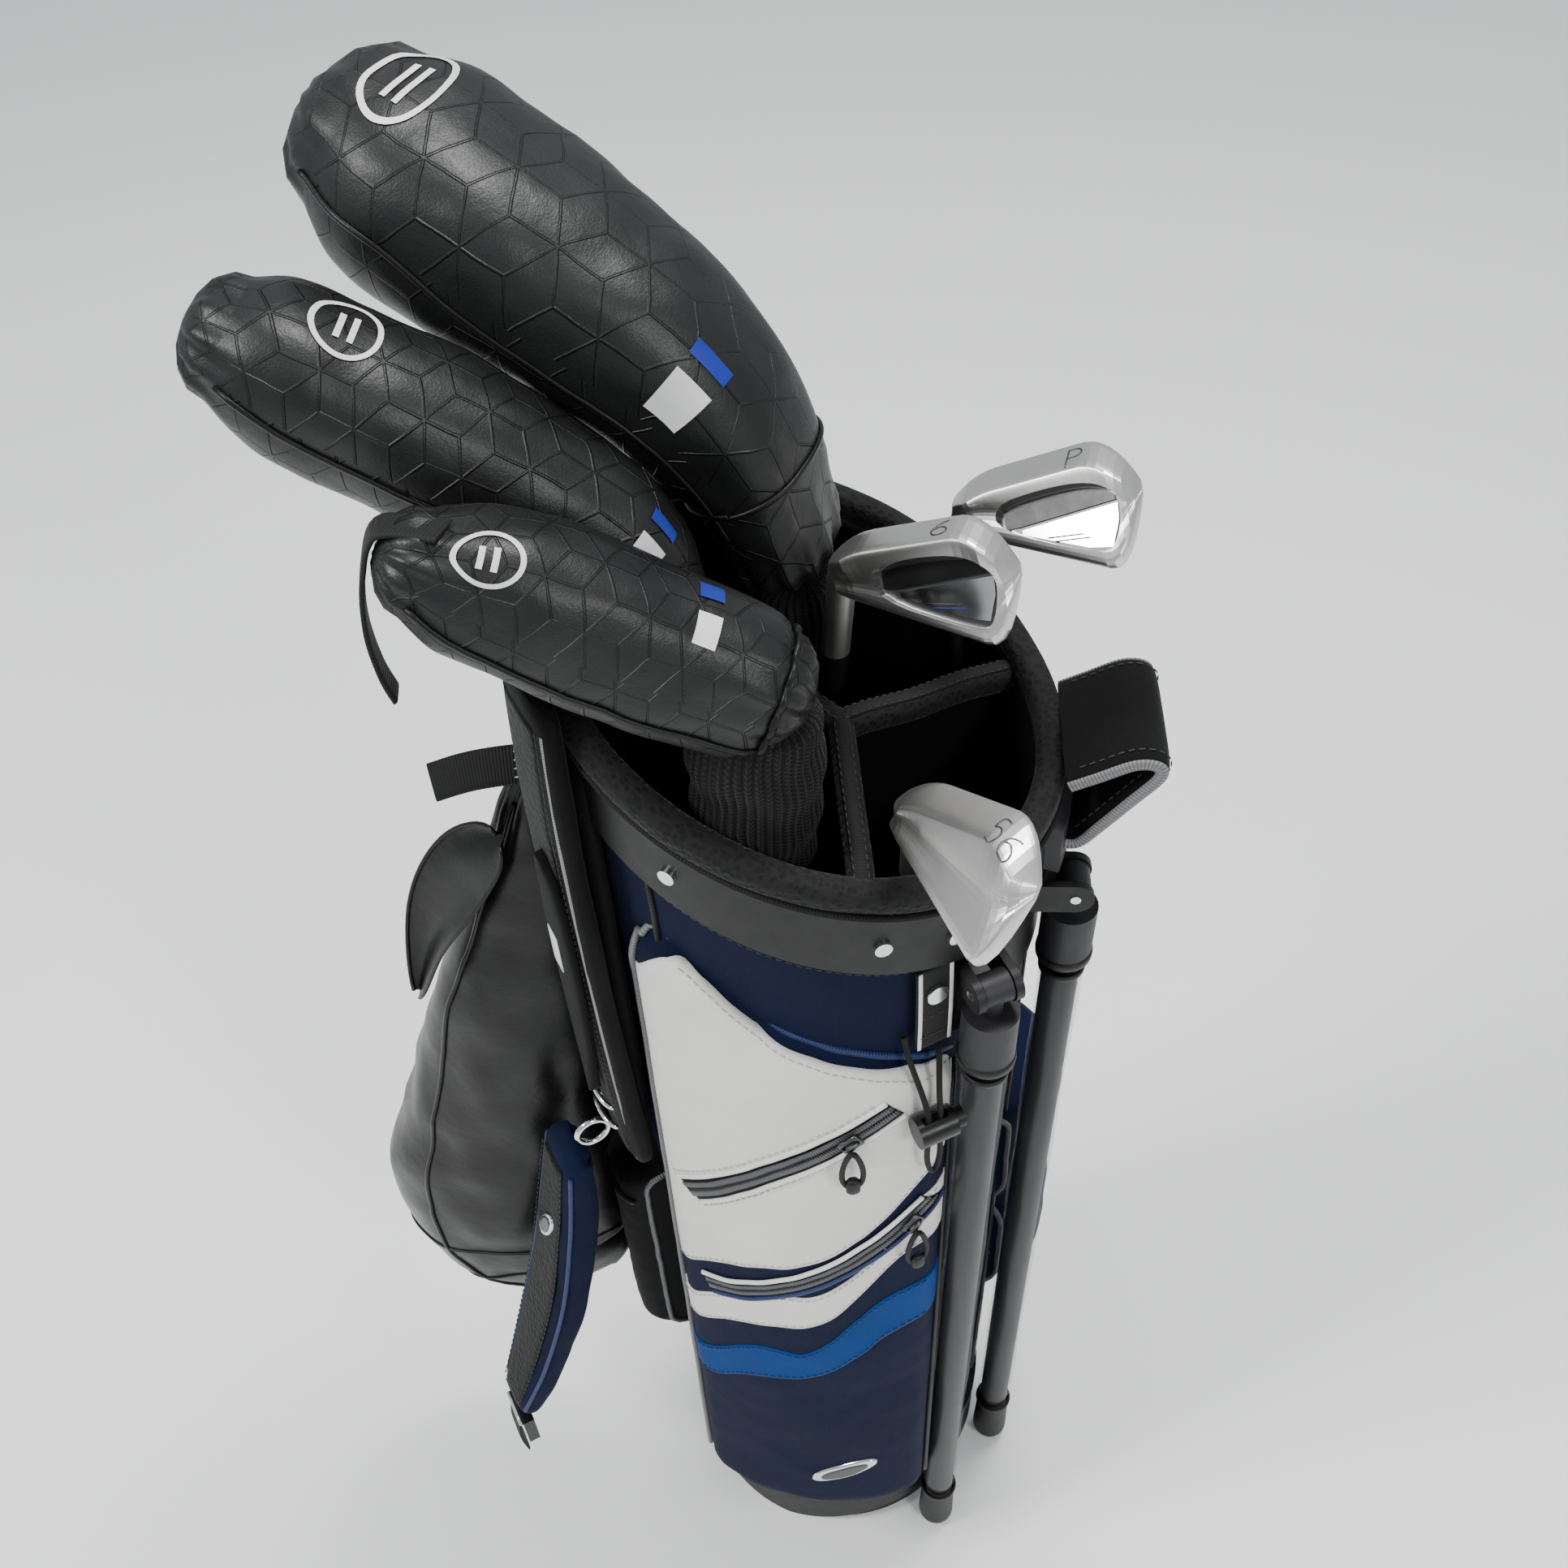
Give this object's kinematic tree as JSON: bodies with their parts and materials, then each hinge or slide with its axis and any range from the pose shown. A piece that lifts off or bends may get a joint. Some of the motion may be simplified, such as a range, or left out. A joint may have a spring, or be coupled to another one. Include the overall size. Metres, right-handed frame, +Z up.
{
  "type": "golf club set in stand bag",
  "caption": "Junior stand bag holding covered woods and bare irons; clubs lift out, headcovers pull off, legs swing open with the base flap.",
  "frame": {"origin": "centre of the base where it stands on the floor", "axes": "+Z up; +X towards the stand legs; -X towards the shoulder strap; -Y towards the front pocket"},
  "size_m": [0.4187, 0.3102, 0.9766],
  "materials": {
    "moulded_black": "moulded, fine grain",
    "body_navy": "woven nylon",
    "mesh_black": "padded mesh",
    "stay_grey": "fibreglass rod",
    "rod_steel": "drawn",
    "rivet_steel": "polished",
    "pocket_white": "woven, white panel with navy and blue bands",
    "zip_grey": "reflective tape with coil",
    "side_black": "woven nylon",
    "pouch_leather": "coated cloth, semi-gloss",
    "housing_grey": "moulded",
    "handle_black": "neoprene",
    "webbing_black": "woven webbing",
    "cord_black": "braided elastic",
    "lock_black": "satin moulded",
    "slider_metal": "black zip slider with cord pull",
    "leg_grey": "satin tube",
    "foot_rubber": "moulded",
    "grip_rubber": "textured",
    "shaft_grey": "satin",
    "wood_black": "gloss",
    "cover_leather": "coated, stitched",
    "sock_knit": "ribbed knit",
    "ferrule_black": "gloss",
    "head_satin": "satin blasted",
    "insert_dark": "gloss badge"
  },
  "bodies": {
    "bag": {"base_boot": "moulded_black", "body_shell": "body_navy", "top_collar": "moulded_black", "rim_pad": "mesh_black", "divider": "mesh_black", "stay_rods": "stay_grey", "leg_bracket": "moulded_black", "leg_pivot_pins": "rod_steel", "collar_rivets": "rivet_steel", "front_pocket": "pocket_white", "zip_tapes": "zip_grey", "ball_pocket": "body_navy", "side_pouch": "side_black", "hood_pouch": "pouch_leather", "strap_black": "mesh_black", "strap_navy": "body_navy", "strap_ring": "rivet_steel", "strap_buckle": "moulded_black", "handle_housing": "housing_grey", "grab_handle": "handle_black", "webbing_loop": "webbing_black", "elastic_cord": "cord_black", "flap_pin": "rod_steel"},
    "cord_lock": {"cord_lock": "lock_black"},
    "cord_lock_button": {"cord_lock_button": "lock_black"},
    "slider_upper": {"slider_upper": "slider_metal"},
    "slider_lower": {"slider_lower": "slider_metal"},
    "base_flap": {"base_flap": "housing_grey"},
    "actuator_rods": {"actuator_rods": "rod_steel"},
    "leg_front": {"leg_front_tube": "leg_grey", "leg_front_knuckle": "moulded_black", "leg_front_foot": "foot_rubber"},
    "leg_back": {"leg_back_tube": "leg_grey", "leg_back_knuckle": "moulded_black", "leg_back_foot": "foot_rubber"},
    "driver": {"driver_grip": "grip_rubber", "driver_shaft": "shaft_grey", "driver_head": "wood_black"},
    "driver_headcover": {"driver_cover": "cover_leather"},
    "fairway": {"fairway_grip": "grip_rubber", "fairway_shaft": "shaft_grey", "fairway_head": "wood_black"},
    "fairway_headcover": {"fairway_cover": "cover_leather"},
    "hybrid": {"hybrid_grip": "grip_rubber", "hybrid_shaft": "shaft_grey", "hybrid_head": "wood_black"},
    "hybrid_headcover": {"hybrid_cover": "cover_leather", "hybrid_sock": "sock_knit"},
    "iron6": {"iron6_grip": "grip_rubber", "iron6_shaft": "shaft_grey", "iron6_ferrule": "ferrule_black", "iron6_head": "head_satin", "iron6_insert": "insert_dark"},
    "pw": {"pw_grip": "grip_rubber", "pw_shaft": "shaft_grey", "pw_head": "head_satin", "pw_insert": "insert_dark"},
    "wedge": {"wedge_grip": "grip_rubber", "wedge_shaft": "shaft_grey", "wedge_head": "head_satin"}
  },
  "joints": [
    {"name": "leg_front_swing", "type": "hinge", "parent": "bag", "child": "leg_front", "pos_m": [0.1165, -0.05913, 0.628], "axis": [-0.6691, -0.7431, 0], "range_deg": [0, 30], "stiffness_Nm_per_rad": 0.5, "springref_deg": -20.05},
    {"name": "leg_back_swing", "type": "hinge", "parent": "bag", "child": "leg_back", "pos_m": [0.1297, 0.01572, 0.628], "axis": [0.3746, -0.9272, 0], "range_deg": [0, 30], "stiffness_Nm_per_rad": 0.5, "springref_deg": -20.05},
    {"name": "actuator_rods_slide", "type": "slide", "parent": "bag", "child": "actuator_rods", "axis": [0.0206, -0.0036, 0.9998], "range_m": [0, 0.0232]},
    {"name": "base_flap_hinge", "type": "hinge", "parent": "bag", "child": "base_flap", "pos_m": [0.01379, -0.00243, 0.009], "axis": [-0.1736, -0.9848, 0], "range_deg": [0, 16.2]},
    {"name": "slider_upper_run", "type": "hinge", "parent": "bag", "child": "slider_upper", "pos_m": [0.00529, 0.06549, 0.47733], "axis": [-0.6722, 0.0299, 0.7398], "range_deg": [-14.2, 6.2]},
    {"name": "slider_lower_run", "type": "hinge", "parent": "bag", "child": "slider_lower", "pos_m": [-0.07666, 0.03093, 0.47475], "axis": [-0.3264, -0.6034, 0.7276], "range_deg": [-13.6, 2.6]},
    {"name": "cord_lock_slide", "type": "slide", "parent": "bag", "child": "cord_lock", "axis": [0, 0, 1], "range_m": [-0.012, 0.004]},
    {"name": "cord_lock_press", "type": "slide", "parent": "cord_lock", "child": "cord_lock_button", "axis": [-0.6428, -0.766, 0], "range_m": [0, 0.0035], "stiffness_N_per_m": 250, "springref_m": -0.0004},
    {"name": "driver_lift", "type": "slide", "parent": "bag", "child": "driver", "axis": [0.0366, -0.0353, 0.9987], "range_m": [0, 0.74]},
    {"name": "driver_cover_pull", "type": "slide", "parent": "driver", "child": "driver_headcover", "axis": [0.0366, -0.0353, 0.9987], "range_m": [0, 0.3], "deforming": ["driver_cover"]},
    {"name": "fairway_lift", "type": "slide", "parent": "bag", "child": "fairway", "axis": [0.0117, -0.013, 0.9998], "range_m": [0, 0.73]},
    {"name": "fairway_cover_pull", "type": "slide", "parent": "fairway", "child": "fairway_headcover", "axis": [0.0117, -0.013, 0.9998], "range_m": [0, 0.26], "deforming": ["fairway_cover"]},
    {"name": "hybrid_lift", "type": "slide", "parent": "bag", "child": "hybrid", "axis": [0.0108, -0.0108, 0.9999], "range_m": [0, 0.72]},
    {"name": "hybrid_cover_pull", "type": "slide", "parent": "hybrid", "child": "hybrid_headcover", "axis": [0.0108, -0.0108, 0.9999], "range_m": [0, 0.24], "deforming": ["hybrid_cover", "hybrid_sock"]},
    {"name": "iron6_lift", "type": "slide", "parent": "bag", "child": "iron6", "axis": [0.0975, 0.0014, 0.9952], "range_m": [0, 0.7]},
    {"name": "pw_lift", "type": "slide", "parent": "bag", "child": "pw", "axis": [0.0375, 0.0274, 0.9989], "range_m": [0, 0.7]},
    {"name": "wedge_lift", "type": "slide", "parent": "bag", "child": "wedge", "axis": [0.0845, -0.1198, 0.9892], "range_m": [0, 0.45]}
  ],
  "couplings": [
    {"joint": "leg_back_swing", "follows": "leg_front_swing", "ratio": 1},
    {"joint": "actuator_rods_slide", "follows": "leg_front_swing", "m_per_rad": 0.04412},
    {"joint": "base_flap_hinge", "follows": "leg_front_swing", "ratio": 0.53667}
  ]
}
